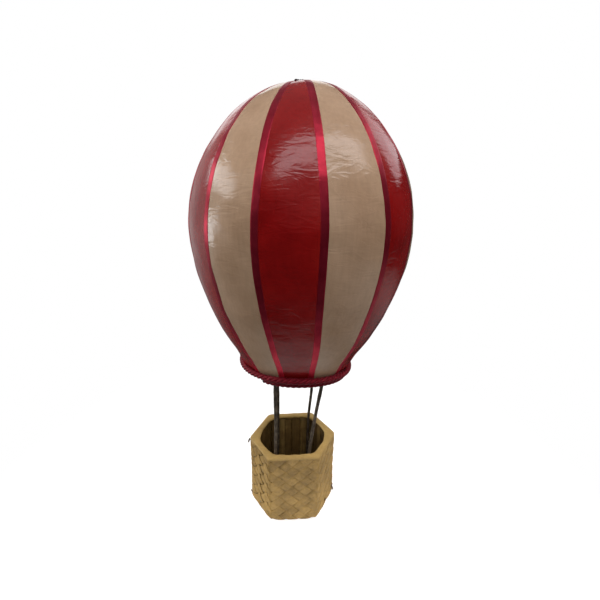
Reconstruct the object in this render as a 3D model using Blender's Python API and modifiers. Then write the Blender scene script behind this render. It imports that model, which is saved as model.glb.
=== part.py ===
"""Decorative hot air balloon model: a papier-mache envelope in red and beige gores with satin ribbon on
every seam, a twisted cord wound round the mouth, four cane sticks, and a six-sided woven basket.

The origin is the middle of the basket's underside, +Z is up and -Y is the front of the photograph.
All sizes are in metres.
"""

import math

import bmesh
import bpy
from mathutils import Vector

for old in list(bpy.data.objects):
    bpy.data.objects.remove(old, do_unlink=True)

# Envelope: height is measured from the widest ring, as shares of the widest radius.
ENVELOPE_RADIUS = 0.110
EQUATOR_Z = 0.374
AXIS_X = 0.0062
CROWN_RISE = 1.143
CROWN_POWER = 1.85
LOWER_TAPER = 0.267
MOUTH_DROP = 1.355
LEAN = 0.0018
SHELL = 0.003

# Gore widths in degrees, from the front red one round. They are cut by hand, so the front three differ.
GORE_WIDTHS = [27.1, 26.2] + 11 * [25.695] + [24.055]
GORES = len(GORE_WIDTHS)
STEPS_PER_GORE = 3
FIRST_SEAM = math.radians(-113.15)
TWIST = math.radians(3.3)

# Ribbon and cord
RIBBON_WIDTH = 0.006
RIBBON_THICK = 0.0008
RIBBON_SHIFT = 0.0014
CORD_THICK = 0.0066
CORD_PITCH = 0.0068
CORD_START = math.radians(-124.5)
CORD_TURNS = 1.62
GAP = 0.0003

# Sticks
STICK_THICK = 0.0042

# Basket: six corners in plan, from the right one round. Hand work, so the hexagon isn't regular.
BASKET_CORNERS = [(0.058, 0), (0.032, 0.042), (-0.032, 0.042), (-0.0575, -0.001), (-0.032, -0.040), (0.0295, -0.041)]
BASKET_HEIGHT = 0.104
WALL = 0.003
LINING = 0.003
FLOOR = 0.003
RIM_WIDTH = 0.009
RIM_HEIGHT = 0.0046
RIM_CORNER_CUT = 0.0042
RIM_CORNER_SLOPE = 1.55


def material(name, colour, roughness, coat=0.0, sheen=0.0):
    made = bpy.data.materials.new(name)
    made.use_nodes = True
    shader = made.node_tree.nodes["Principled BSDF"]
    shader.inputs["Base Color"].default_value = (*colour, 1.0)
    shader.inputs["Roughness"].default_value = roughness
    shader.inputs["Coat Weight"].default_value = coat
    shader.inputs["Sheen Weight"].default_value = sheen
    return made


def link(name, mesh, *materials):
    made = bpy.data.objects.new(name, mesh)
    bpy.context.scene.collection.objects.link(made)
    for each in materials:
        mesh.materials.append(each)
    return made


def mesh_from(name, points, faces):
    mesh = bpy.data.meshes.new(name)
    mesh.from_pydata([tuple(p) for p in points], [], faces)
    shape = bmesh.new()
    shape.from_mesh(mesh)
    bmesh.ops.recalc_face_normals(shape, faces=shape.faces)
    shape.to_mesh(mesh)
    shape.free()
    return mesh


def smooth(mesh, degrees=40):
    mesh.shade_smooth()
    mesh.set_sharp_from_angle(angle=math.radians(degrees))


def meridian():
    """Points (radius, z) of the envelope's outside from the crown to the mouth, and the outward slope there."""
    up = [0.0, 0.05, 0.13, 0.24, 0.38, 0.53, 0.68, 0.81, 0.91, 0.975, 1.0]
    down = [0.15, 0.30, 0.45, 0.60, 0.75, 0.89, 1.02, 1.14, 1.25, MOUTH_DROP]
    rows = [(r, CROWN_RISE * (1 - r**CROWN_POWER) ** (1 / CROWN_POWER)) for r in up]
    rows += [(1 - LOWER_TAPER * d * d, -d) for d in down]
    return [(r * ENVELOPE_RADIUS, EQUATOR_Z + z * ENVELOPE_RADIUS) for r, z in rows]


PROFILE = meridian()


def profile_at(i):
    """Radius, z and outward normal (in the radius, z plane) of row i, the normal shared by its two slopes."""
    before, here, after = PROFILE[max(i - 1, 0)], PROFILE[i], PROFILE[min(i + 1, len(PROFILE) - 1)]
    along = Vector((after[0] - before[0], after[1] - before[1])).normalized()
    return here[0], here[1], Vector((-along.y, along.x))


def wall_radius(z):
    drop = (EQUATOR_Z - z) / ENVELOPE_RADIUS
    return ENVELOPE_RADIUS * (1 - LOWER_TAPER * drop * drop)


def seam_angle(gores):
    """Direction of a place this many gores round from the first seam, at the widest ring."""
    whole = int(gores)
    width = GORE_WIDTHS[whole % GORES]
    return FIRST_SEAM + math.radians(sum(GORE_WIDTHS[:whole]) + (gores - whole) * width)


def twist(z):
    """How far the seams have turned at height z: they swing a few degrees round towards the mouth."""
    drop = max((EQUATOR_Z - z) / ENVELOPE_RADIUS, 0)
    return TWIST * drop * drop


def leaned(place):
    """The place after the envelope's lean: below its widest ring it bends a little to the left."""
    drop = max((EQUATOR_Z - place.z) / ENVELOPE_RADIUS, 0)
    tilt = 2 * LEAN * drop / ENVELOPE_RADIUS
    return Vector((place.x - LEAN * drop * drop, place.y, place.z - (place.x - AXIS_X) * tilt))


# Envelope: the profile is swung round its axis and thickened inwards, and the mouth is left open.
red = material("papier_mache_red", (0.30, 0.012, 0.012), 0.32, coat=0.7)
beige = material("papier_mache_beige", (0.47, 0.31, 0.20), 0.34, coat=0.7)
line = bpy.data.meshes.new("envelope_profile")
line.from_pydata([(r, 0, z) for r, z in PROFILE], [(i, i + 1) for i in range(len(PROFILE) - 1)], [])
swung = link("envelope_swung", line)
screw = swung.modifiers.new("Round", "SCREW")
screw.steps = screw.render_steps = GORES * STEPS_PER_GORE
screw.use_merge_vertices = True
screw.merge_threshold = 0.00005
thick = swung.modifiers.new("Shell", "SOLIDIFY")
thick.thickness = SHELL
thick.offset = -1
turned = bpy.data.meshes.new_from_object(swung.evaluated_get(bpy.context.evaluated_depsgraph_get()))
bpy.data.objects.remove(swung, do_unlink=True)
shape = bmesh.new()
shape.from_mesh(turned)
bmesh.ops.remove_doubles(shape, verts=shape.verts, dist=0.00001)
bmesh.ops.recalc_face_normals(shape, faces=shape.faces)
for face in shape.faces:
    middle = face.calc_center_median()
    gore = int(math.degrees(math.atan2(middle.y, middle.x)) % 360 // (360 / GORES))
    face.material_index = gore % 2
for vert in shape.verts:
    reach = math.hypot(vert.co.x, vert.co.y)
    gores = math.atan2(vert.co.y, vert.co.x) % math.tau / math.tau * GORES
    turn = seam_angle(gores) + twist(vert.co.z)
    vert.co = leaned(Vector((AXIS_X + reach * math.cos(turn), reach * math.sin(turn), vert.co.z)))
shape.to_mesh(turned)
shape.free()
smooth(turned, 50)
link("envelope", turned, red, beige)

# Ribbons: one on each seam, laid a little onto the red gore and narrowing where they meet at the crown.
satin = material("satin_ribbon", (0.42, 0.012, 0.045), 0.38, sheen=0.4)
first_row = 1
for k in range(GORES):
    onto_red = 1 if k % 2 == 0 else -1
    points, faces = [], []
    for i in range(first_row, len(PROFILE)):
        r, z, normal = profile_at(i)
        seam = seam_angle(k) + twist(z)
        across = Vector((-math.sin(seam), math.cos(seam), 0))
        out = Vector((math.cos(seam), math.sin(seam), 0))
        half = min(RIBBON_WIDTH / 2, 0.2 * r)
        shift = RIBBON_SHIFT * onto_red * min(max((r - 0.015) / 0.040, 0), 1)
        lift = out * normal.x + Vector((0, 0, normal.y))
        base = Vector((AXIS_X, 0, z)) + out * r
        for side, height in ((-1, 0), (1, 0), (1, 1), (-1, 1)):
            points.append(leaned(base + across * (shift + side * half) + lift * (GAP + height * RIBBON_THICK)))
    rows = len(points) // 4
    for i in range(rows - 1):
        a, b = 4 * i, 4 * (i + 1)
        faces += [(a + j, a + (j + 1) % 4, b + (j + 1) % 4, b + j) for j in range(4)]
    faces += [(3, 2, 1, 0), tuple(4 * (rows - 1) + j for j in range(4))]
    ribbon = mesh_from(f"ribbon_{k + 1:02d}", points, faces)
    smooth(ribbon)
    link(f"ribbon_{k + 1:02d}", ribbon, satin)

# Crown knot: the small dark stub that shows on the outline at the very top.
dark_red = material("crown_thread", (0.06, 0.006, 0.010), 0.7)
bpy.ops.mesh.primitive_uv_sphere_add(segments=16, ring_count=8, radius=0.0034, location=(AXIS_X, 0, 0))
knot = bpy.context.object
knot.name = "crown_knot"
knot.scale.z = 0.55
knot.location.z = PROFILE[0][1] + GAP + 0.0034 * 0.55
bpy.ops.object.transform_apply(location=True, rotation=True, scale=True)
knot.data.shade_smooth()
knot.data.materials.append(dark_red)


def tube(name, points, thickness, look, sides=2):
    curve = bpy.data.curves.new(name, "CURVE")
    curve.dimensions = "3D"
    curve.bevel_depth = thickness / 2
    curve.bevel_resolution = sides
    curve.use_fill_caps = True
    wire = curve.splines.new("POLY")
    wire.points.add(len(points) - 1)
    for spot, place in zip(wire.points, points):
        spot.co = (*place, 1)
    return link(name, curve, look)


# Cord: wound once and a bit more round the mouth, each turn lying above the one before on the taper.
cord_look = material("satin_cord", (0.20, 0.006, 0.020), 0.5, sheen=0.5)
low_z = EQUATOR_Z - MOUTH_DROP * ENVELOPE_RADIUS + 0.0043
away = RIBBON_THICK + 2 * GAP + 0.0001 + CORD_THICK / 2
turn_steps = 56
path = []
for i in range(int(CORD_TURNS * turn_steps) + 1):
    angle = CORD_START + i * 2 * math.pi / turn_steps
    z = low_z + CORD_PITCH * 0.84 * i / turn_steps
    slope = Vector((1, -0.534 * (EQUATOR_Z - z) / ENVELOPE_RADIUS)).normalized()
    r = wall_radius(z) + away * slope.x
    path.append(leaned(Vector((AXIS_X + r * math.cos(angle), r * math.sin(angle), z + away * slope.y))))
tube("mouth_cord", path, CORD_THICK, cord_look)

# Sticks: each stands on the basket floor, passes the rim and ends inside the envelope's mouth.
cane = material("dark_cane", (0.045, 0.030, 0.020), 0.6)
foot = FLOOR + GAP
rim_front = -0.0400 + RIM_WIDTH + 0.0008 + STICK_THICK / 2
rim_back = 0.042 - RIM_WIDTH - GAP - STICK_THICK / 2
sticks = {
    "stick_front_left": [(-0.0248, rim_front, foot), (-0.0232, rim_front, 0.104), (-0.0225, -0.0362, 0.165),
                         (-0.0224, -0.0438, 0.226), (-0.0224, -0.0465, 0.250)],
    "stick_front_right": [(0.0209, rim_front, foot), (0.0188, rim_front, 0.104), (0.0239, -0.0356, 0.165),
                          (0.0304, -0.0432, 0.226), (0.0326, -0.0458, 0.250)],
    "stick_back_left": [(-0.0209, rim_back, foot), (-0.0196, rim_back, 0.104), (-0.0203, 0.0370, 0.165),
                        (-0.0243, 0.0426, 0.226), (-0.0258, 0.0449, 0.250)],
    "stick_back_right": [(0.0245, rim_back, foot), (0.0251, rim_back, 0.104), (0.0302, 0.0350, 0.165),
                         (0.0353, 0.0394, 0.226), (0.0371, 0.0410, 0.250)],
}
for name, places in sticks.items():
    tube(name, places, STICK_THICK, cane)


def hexagon(inset):
    """The basket's six corners in plan, with every side moved inwards by inset."""
    corners = [Vector(p) for p in BASKET_CORNERS]
    lines = []
    for i, here in enumerate(corners):
        along = (corners[(i + 1) % 6] - here).normalized()
        inward = Vector((-along.y, along.x))
        lines.append((inward, inward.dot(here) + inset))
    moved = []
    for i in range(6):
        (n, p), (m, q) = lines[i - 1], lines[i]
        cross = n.x * m.y - n.y * m.x
        moved.append(((p * m.y - q * n.y) / cross, (q * n.x - p * m.x) / cross))
    return moved


def ring_prism(outer, inner, low, high):
    n = len(outer)
    points = [(*p, z) for z in (low, high) for loop in (outer, inner) for p in loop]
    faces = []
    for i in range(n):
        j = (i + 1) % n
        faces += [
            (i, j, 2 * n + j, 2 * n + i),
            (n + j, n + i, 3 * n + i, 3 * n + j),
            (i, n + i, n + j, j),
            (2 * n + i, 2 * n + j, 3 * n + j, 3 * n + i),
        ]
    return points, faces


# Basket wall, floor and rim. The wall is one woven tube with six flat sides.
straw = material("woven_straw", (0.40, 0.25, 0.095), 0.6)
rim_straw = material("rim_straw", (0.48, 0.31, 0.13), 0.5)
slat_straw = material("aged_slats", (0.10, 0.055, 0.022), 0.75)
rim_low = BASKET_HEIGHT - RIM_HEIGHT
wall = mesh_from("basket_wall", *ring_prism(hexagon(0), hexagon(WALL), 0, rim_low - GAP))
link("basket_wall", wall, straw)

plan = hexagon(WALL + GAP)
points = [(*p, z) for z in (0, FLOOR) for p in plan]
faces = [tuple(range(6)), tuple(range(6, 12))] + [(i, (i + 1) % 6, 6 + (i + 1) % 6, 6 + i) for i in range(6)]
link("basket_floor", mesh_from("basket_floor", points, faces), straw)

# The rim is a rolled band: its section is a flattened round, carried along the six sides. Its inner edge
# cuts across the two sharp end corners, so the opening is rounder than the basket.
rim_outer, rim_inner = [], []
for (x, y), (u, v) in zip(hexagon(0), hexagon(RIM_WIDTH)):
    if abs(y) > 0.01:
        rim_outer.append(Vector((x, y)))
        rim_inner.append(Vector((u, v)))
        continue
    cut = RIM_CORNER_CUT if u > 0 else -RIM_CORNER_CUT
    slope = RIM_CORNER_SLOPE * RIM_CORNER_CUT
    spread = (slope, -slope) if u < 0 else (-slope, slope)
    for dy in spread:
        rim_outer.append(Vector((x - cut * 0.26, y + dy * 0.25)))
        rim_inner.append(Vector((u - cut, v + dy)))
section = 12
n = len(rim_outer)
points, faces = [], []
for k in range(section):
    turn = 2 * math.pi * k / section
    share = (1 - math.copysign(abs(math.cos(turn)) ** 0.8, math.cos(turn))) / 2
    z = rim_low + RIM_HEIGHT / 2 * (1 + math.copysign(abs(math.sin(turn)) ** 0.8, math.sin(turn)))
    points += [(*(a + (b - a) * share), z) for a, b in zip(rim_outer, rim_inner)]
for k in range(section):
    for i in range(n):
        a, b = n * k, n * ((k + 1) % section)
        faces.append((a + i, a + (i + 1) % n, b + (i + 1) % n, b + i))
rim = mesh_from("basket_rim", points, faces)
smooth(rim, 35)
link("basket_rim", rim, rim_straw)

# Lining: upright slats stand side by side against each wall, and their rounded faces show inside.
outer, inner = hexagon(WALL + GAP), hexagon(WALL + GAP + LINING)
slats = 5
for i in range(6):
    j = (i + 1) % 6
    a, b = Vector(outer[i]), Vector(outer[j])
    c, d = Vector(inner[i]), Vector(inner[j])
    along = (b - a).normalized()
    inward = Vector((-along.y, along.x))
    trim = along * GAP
    plan = [a + trim, b - trim]
    reach = (d - c) - 2 * trim
    for k in range(slats, 0, -1):
        for share, sink in ((0.0, 0.0011), (-0.22, 0.0), (-0.78, 0.0)):
            plan.append(c + trim + reach * ((k + share) / slats) - inward * sink)
    plan.append(c + trim - inward * 0.0011)
    n = len(plan)
    low, high = FLOOR + GAP, rim_low - GAP
    points = [(*p, z) for z in (low, high) for p in plan]
    faces = [tuple(range(n)), tuple(range(n, 2 * n))] + [(k, (k + 1) % n, n + (k + 1) % n, n + k) for k in range(n)]
    name = f"lining_{i + 1}"
    link(name, mesh_from(name, points, faces), slat_straw)
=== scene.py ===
import math
import random
from bisect import bisect_right

import bpy
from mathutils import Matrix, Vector, noise


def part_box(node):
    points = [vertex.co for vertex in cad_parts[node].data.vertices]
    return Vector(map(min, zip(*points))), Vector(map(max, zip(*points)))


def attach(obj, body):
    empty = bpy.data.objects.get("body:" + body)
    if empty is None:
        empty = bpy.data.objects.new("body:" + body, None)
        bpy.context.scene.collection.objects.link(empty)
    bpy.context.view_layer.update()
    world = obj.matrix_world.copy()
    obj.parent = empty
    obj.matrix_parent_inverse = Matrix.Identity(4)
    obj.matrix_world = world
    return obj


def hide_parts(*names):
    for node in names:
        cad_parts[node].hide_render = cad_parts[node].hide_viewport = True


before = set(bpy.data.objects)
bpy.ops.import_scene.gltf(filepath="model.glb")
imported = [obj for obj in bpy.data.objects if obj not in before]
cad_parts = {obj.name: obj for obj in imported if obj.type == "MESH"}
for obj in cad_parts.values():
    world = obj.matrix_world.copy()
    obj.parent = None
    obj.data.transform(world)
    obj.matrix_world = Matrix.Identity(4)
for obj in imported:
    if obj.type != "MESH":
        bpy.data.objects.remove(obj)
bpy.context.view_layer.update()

# The view: the photograph looks down a little at the balloon from close by, slightly left of its middle.
# The balloon's middle is a little off the lens axis, so the camera is shifted by the same small amount.
CAMERA_SPOT = (-0.0248, -0.3151, 0.4051)
CAMERA_TILT = math.radians(70.41)
CAMERA_TURN = math.radians(-3.5)
bpy.ops.object.select_all(action="DESELECT")
bpy.ops.object.camera_add(location=CAMERA_SPOT, rotation=(CAMERA_TILT, 0, CAMERA_TURN))
camera = bpy.context.object
camera.name = "camera"
camera.data.sensor_width = 36
camera.data.lens = 17.8
camera.data.shift_x = 0.0193
camera.data.shift_y = 0.0037
camera.data.clip_start = 0.01
camera.data.dof.use_dof = False
bpy.context.scene.camera = camera

# Envelope: strips of paper pasted over a round former in several layers, which leaves a slightly lumpy
# shell about 3 mm thick. It is painted in fourteen gores, dark red and beige by turns, and varnished.
AXIS_X = 0.0062
EQUATOR_Z = 0.374
WIDEST = 0.110
DOME = 1.143
DOME_POWER = 1.85
NARROWING = 0.267
MOUTH_Z = EQUATOR_Z - 1.355 * WIDEST
LIP_TALL = 0.028
LIP_OUT = 0.0038
LEAN = 0.0018
SIDE_DIP = 0.0115
MORE_DIP_RIGHT = 0.0020
GORE_WIDTHS = [27.1, 26.2] + 11 * [25.695] + [24.055]
GORES = len(GORE_WIDTHS)
FIRST_SEAM = math.radians(-113.15)
TWIST = math.radians(3.3)
SHELL_THICK = 0.003


def drop_below_equator(z):
    """How far z lies below the widest ring, as a share of the widest radius."""
    return max((EQUATOR_Z - z) / WIDEST, 0)


def seam_angle(gores):
    """Direction of a place this many gores round from the first seam, at the widest ring."""
    whole = int(gores)
    width = GORE_WIDTHS[whole % GORES]
    return FIRST_SEAM + math.radians(sum(GORE_WIDTHS[:whole]) + (gores - whole) * width)


def twist(z):
    """The seams swing a few degrees round towards the mouth."""
    return TWIST * drop_below_equator(z) ** 2


def leaned(place):
    """The place after the envelope's lean: below its widest ring it bends a little to the left."""
    drop = drop_below_equator(place.z)
    sunk = (place.x - AXIS_X) * 2 * LEAN * drop / WIDEST
    return Vector((place.x - LEAN * drop * drop, place.y, place.z - sunk))


def lowered(z, turn):
    """The height after the mouth's dip: its edge was cut lower at the sides than at the front and back."""
    dip = (SIDE_DIP + MORE_DIP_RIGHT * math.cos(turn)) * math.cos(turn) ** 2
    return z - drop_below_equator(z) * WIDEST * dip / (EQUATOR_Z - MOUTH_Z)


def wall_radius(z):
    """Outside radius of the envelope at height z. Just above the mouth it turns out a little, as a lip."""
    rise = (z - EQUATOR_Z) / WIDEST
    if rise < 0:
        low = min(max((MOUTH_Z + LIP_TALL - z) / LIP_TALL, 0), 1)
        return WIDEST * (1 - NARROWING * rise * rise) + LIP_OUT * low * low * (3 - 2 * low)
    return WIDEST * max(1 - (rise / DOME) ** DOME_POWER, 0) ** (1 / DOME_POWER)


def meridian(below, above):
    """(radius, z) rows from the mouth up to just under the crown, closer together where it curves more."""
    rows = [MOUTH_Z + (EQUATOR_Z - MOUTH_Z) * i / below for i in range(below)]
    rows = [(wall_radius(z), z) for z in rows]
    for i in range(above):
        turn = math.pi / 2 * i / above
        radius = WIDEST * math.cos(turn) ** (2 / DOME_POWER)
        rows.append((radius, EQUATOR_Z + WIDEST * DOME * math.sin(turn) ** (2 / DOME_POWER)))
    return rows


def start_piece():
    """Leaves edit mode and clears the selection, so that the next operator acts only on the new piece."""
    if bpy.context.mode != "OBJECT":
        bpy.ops.object.mode_set(mode="OBJECT")
    bpy.ops.object.select_all(action="DESELECT")


def pick(*pieces):
    """Selects these pieces alone and makes the first of them active."""
    start_piece()
    for piece in pieces:
        piece.select_set(True)
    bpy.context.view_layer.objects.active = pieces[0]


def joined(pieces):
    pick(*pieces)
    bpy.ops.object.join()
    return bpy.context.object


def place_in_mesh():
    """Moves the active piece's place, turn and size into its mesh."""
    bpy.ops.object.transform_apply(location=True, rotation=True, scale=True)


def turn_outwards():
    """Makes every face of the active piece look outwards."""
    bpy.ops.object.mode_set(mode="EDIT")
    bpy.ops.mesh.select_all(action="SELECT")
    bpy.ops.mesh.normals_make_consistent(inside=False)
    bpy.ops.object.mode_set(mode="OBJECT")


def smooth(degrees):
    bpy.ops.object.shade_smooth_by_angle(angle=math.radians(degrees))


def modify(piece, label, kind, **settings):
    made = piece.modifiers.new(label, kind)
    for name, value in settings.items():
        setattr(made, name, value)


def apply_modifiers(piece):
    pick(piece)
    for each in list(piece.modifiers):
        bpy.ops.object.modifier_apply(modifier=each.name)


def settle(piece, slot, *nodes, body="root"):
    """Puts the piece's place into its mesh and ties it to the frame."""
    pick(piece)
    place_in_mesh()
    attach(piece, body)
    if nodes:
        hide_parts(*nodes)


rows = meridian(66, 56)
start_piece()
bpy.ops.mesh.primitive_circle_add(vertices=GORES * 18, radius=rows[0][0], location=(AXIS_X, 0, rows[0][1]))
envelope = bpy.context.object
envelope.name = "envelope_shell"
place_in_mesh()
bpy.ops.object.mode_set(mode="EDIT")
bpy.ops.mesh.select_all(action="SELECT")
for (r0, z0), (r1, z1) in zip(rows, rows[1:]):
    bpy.ops.mesh.extrude_region_move(TRANSFORM_OT_translate={"value": (0, 0, z1 - z0)})
    bpy.ops.transform.resize(value=(r1 / r0, r1 / r0, 1), center_override=(AXIS_X, 0, z1))
to_crown = EQUATOR_Z + DOME * WIDEST - rows[-1][1]
bpy.ops.mesh.extrude_region_move(TRANSFORM_OT_translate={"value": (0, 0, to_crown)})
bpy.ops.mesh.merge(type="CENTER")
turn_outwards()

# Red and beige by turns, counted while the gores are still even; then each gore gets its own width.
for face in envelope.data.polygons:
    gore = int(math.degrees(math.atan2(face.center.y, face.center.x - AXIS_X)) % 360 // (360 / GORES))
    face.material_index = gore % 2
for vert in envelope.data.vertices:
    reach = math.hypot(vert.co.x - AXIS_X, vert.co.y)
    gores = math.atan2(vert.co.y, vert.co.x - AXIS_X) % math.tau / math.tau * GORES
    turn = seam_angle(gores) + twist(vert.co.z)
    z = lowered(vert.co.z, turn)
    if z < EQUATOR_Z:
        reach = wall_radius(z)
    vert.co = leaned(Vector((AXIS_X + reach * math.cos(turn), reach * math.sin(turn), z)))

# The hand-made lumps fade towards the mouth, where the cord draws the paper round.
LUMPS_FROM_Z = 0.228
LUMPS_OVER = 0.035
lumpy = envelope.vertex_groups.new(name="lumpy")
for vert in envelope.data.vertices:
    lumpy.add([vert.index], min(max((vert.co.z - LUMPS_FROM_Z) / LUMPS_OVER, 0.10), 1), "REPLACE")
LUMPS = [("former", 0.085, 0.0030), ("layers", 0.030, 0.0014), ("creases", 0.014, 0.00050)]
for label, size, height in LUMPS:
    cloud = bpy.data.textures.new(f"paper_{label}", "CLOUDS")
    cloud.noise_scale = size
    cloud.noise_depth = 1
    modify(
        envelope, label, "DISPLACE",
        texture=cloud, texture_coords="LOCAL", strength=height, mid_level=0.5, vertex_group="lumpy",
    )
apply_modifiers(envelope)
skin_surface = envelope.copy()
skin_surface.data = envelope.data.copy()
modify(
    envelope, "shell", "SOLIDIFY",
    thickness=SHELL_THICK, offset=-1, material_offset=2, material_offset_rim=2,
)
apply_modifiers(envelope)
smooth(50)


def put(tree, kind, inputs=None, **settings):
    """Adds a shader node, sets it up, and links or sets each named input."""
    made = tree.nodes.new(kind)
    for name, value in settings.items():
        setattr(made, name, value)
    for name, value in (inputs or {}).items():
        if isinstance(value, bpy.types.NodeSocket):
            tree.links.new(value, made.inputs[name])
        else:
            made.inputs[name].default_value = value
    return made


def feed(tree, node, **sockets):
    """Links what was worked out to the node's inputs of these names."""
    for name, value in sockets.items():
        tree.links.new(value, node.inputs[name.replace("_", " ")])


def on_piece(tree):
    """The place on the piece, in its own coordinates."""
    return put(tree, "ShaderNodeTexCoord").outputs["Object"]


def stretched(tree, place, x, y, z):
    return put(tree, "ShaderNodeMapping", {"Vector": place, "Scale": (x, y, z)}).outputs[0]


def split(tree, vector):
    return put(tree, "ShaderNodeSeparateXYZ", {"Vector": vector}).outputs


def cloudy(tree, place, scale, detail, **more):
    """Soft random values round a half."""
    inputs = {"Vector": place, "Scale": scale, "Detail": detail, **more}
    return put(tree, "ShaderNodeTexNoise", inputs).outputs["Fac"]


def reckon(tree, operation, *values):
    return put(tree, "ShaderNodeMath", dict(enumerate(values)), operation=operation).outputs[0]


def scaled(tree, colour, by):
    return put(tree, "ShaderNodeVectorMath", {0: colour, 1: by}, operation="MULTIPLY").outputs[0]


def remap(tree, value, low, high, start, end):
    """The value moved from the range low to high into the range start to end."""
    ends = {"From Min": low, "From Max": high, "To Min": start, "To Max": end}
    return put(tree, "ShaderNodeMapRange", {"Value": value, **ends}).outputs[0]


def bump(tree, height, strength, distance, over=None, **settings):
    """A surface bent by a height, over another one where that is given."""
    inputs = {"Height": height, "Strength": strength, "Distance": distance}
    if over:
        inputs["Normal"] = over
    return put(tree, "ShaderNodeBump", inputs, **settings).outputs[0]


def ramp(tree, value, *stops):
    """A colour ramp through (place, colour) stops."""
    made = put(tree, "ShaderNodeValToRGB", {"Fac": value})
    keys = made.color_ramp.elements
    while len(keys) < len(stops):
        keys.new(0.5)
    for key, (place, colour) in zip(keys, stops):
        key.position = place
        key.color = (*colour, 1)
    return made.outputs["Color"]


def new_group(name, inputs, outputs):
    """An empty shader node group with named sockets. Returns the group, its input node and output node."""
    group = bpy.data.node_groups.new(name, "ShaderNodeTree")
    for label, kind, value in inputs:
        made = group.interface.new_socket(label, in_out="INPUT", socket_type=f"NodeSocket{kind}")
        if value is not None:
            made.default_value = value
    for label, kind in outputs:
        group.interface.new_socket(label, in_out="OUTPUT", socket_type=f"NodeSocket{kind}")
    return group, group.nodes.new("NodeGroupInput"), group.nodes.new("NodeGroupOutput")


def use_group(tree, group, **inputs):
    return put(tree, "ShaderNodeGroup", inputs, node_tree=group).outputs


def new_finish(name, **constants):
    """A material with its shader's fixed values set. Returns the material, its tree and the shader."""
    made = bpy.data.materials.new(name)
    made.use_nodes = True
    shader = made.node_tree.nodes["Principled BSDF"]
    for label, value in constants.items():
        shader.inputs[label.replace("_", " ")].default_value = value
    return made, made.node_tree, shader


# Pasted paper: torn pieces lie over each other, each a small step, with fine creases mostly level.
pasted, given, result = new_group(
    "pasted paper",
    [("Vector", "Vector", None), ("Piece", "Float", 42.0), ("Crease", "Float", 1.0)],
    [("Height", "Float"), ("Mottle", "Float"), ("Edge", "Float")],
)
at = given.outputs["Vector"]
torn = put(pasted, "ShaderNodeTexNoise", {"Vector": at, "Scale": 60.0, "Detail": 3.0}).outputs["Color"]
moved = scaled(pasted, torn, (0.006, 0.006, 0.006))
torn_at = put(pasted, "ShaderNodeVectorMath", {0: at, 1: moved}, operation="ADD").outputs[0]
cells = {"Vector": stretched(pasted, torn_at, 1.0, 1.0, 0.55), "Scale": given.outputs["Piece"]}
pieces = put(pasted, "ShaderNodeTexVoronoi", cells)
edges = put(pasted, "ShaderNodeTexVoronoi", cells, feature="DISTANCE_TO_EDGE")
level = put(pasted, "ShaderNodeSeparateColor", {"Color": pieces.outputs["Color"]}).outputs[0]
crease = cloudy(pasted, stretched(pasted, at, 1.0, 1.0, 3.2), 48.0, 2.5, Roughness=0.5, Distortion=0.9)
ridge = reckon(pasted, "ABSOLUTE", reckon(pasted, "SUBTRACT", crease, 0.5))
ridge = reckon(pasted, "MULTIPLY", ridge, given.outputs["Crease"])
feed(
    pasted, result,
    Height=reckon(pasted, "SUBTRACT", reckon(pasted, "MULTIPLY", level, 0.35), ridge),
    Mottle=cloudy(pasted, at, 26.0, 5.0, Roughness=0.6),
    Edge=remap(pasted, edges.outputs["Distance"], 0.0, 0.05, 1.0, 0.0),
)


def paint(name, deep, plain, worn, roughness):
    """One colour of the envelope: brushed paint over the pasted paper, with worn spots, under varnish."""
    made, tree, shader = new_finish(name, Specular_IOR_Level=0.55, IOR=1.5)
    place = on_piece(tree)
    paper = use_group(tree, pasted, Vector=place)
    colour = ramp(tree, paper["Mottle"], (0.30, deep), (0.52, plain), (0.74, worn))
    strokes = cloudy(tree, stretched(tree, place, 1.0, 1.0, 0.12), 420.0, 4.0)
    brushed = scaled(tree, colour, remap(tree, strokes, 0.3, 0.7, 0.94, 1.04))
    # Painted shade and dust: the paint is a little darker towards the mouth, where less light falls from
    # above.
    shaded_and_dusty = scaled(tree, brushed, remap(tree, split(tree, place)["Z"], 0.26, 0.40, 0.92, 1.0))
    relief = bump(tree, paper["Height"], 0.5, 0.0011)
    feed(
        tree, shader, Base_Color=shaded_and_dusty,
        Roughness=remap(tree, paper["Mottle"], 0.3, 0.7, roughness - 0.05, roughness + 0.09),
        Normal=bump(tree, strokes, 0.05, 0.0002, relief),
    )
    return made


red_paint = paint(
    "varnished_dark_red", (0.195, 0.0035, 0.0040), (0.255, 0.0050, 0.0050), (0.290, 0.0080, 0.0060), 0.15
)
beige_paint = paint(
    "varnished_beige", (0.390, 0.250, 0.155), (0.450, 0.297, 0.190), (0.490, 0.330, 0.215), 0.15
)

# Inside, the layers are bare: dull grey-brown paper stiff with paste.
bare_paper, tree, shader = new_finish("bare_pasted_paper", Specular_IOR_Level=0.25)
paper = use_group(tree, pasted, Vector=on_piece(tree), Piece=30.0, Crease=1.6)
feed(
    tree, shader,
    Base_Color=ramp(tree, paper["Mottle"], (0.3, (0.20, 0.15, 0.10)), (0.7, (0.36, 0.30, 0.22))),
    Roughness=remap(tree, paper["Edge"], 0.0, 1.0, 0.72, 0.9),
    Normal=bump(tree, paper["Height"], 0.8, 0.0008),
)
for each in (red_paint, beige_paint, bare_paper, bare_paper):
    envelope.data.materials.append(each)
settle(envelope, "papier_mache", "envelope")

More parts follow.
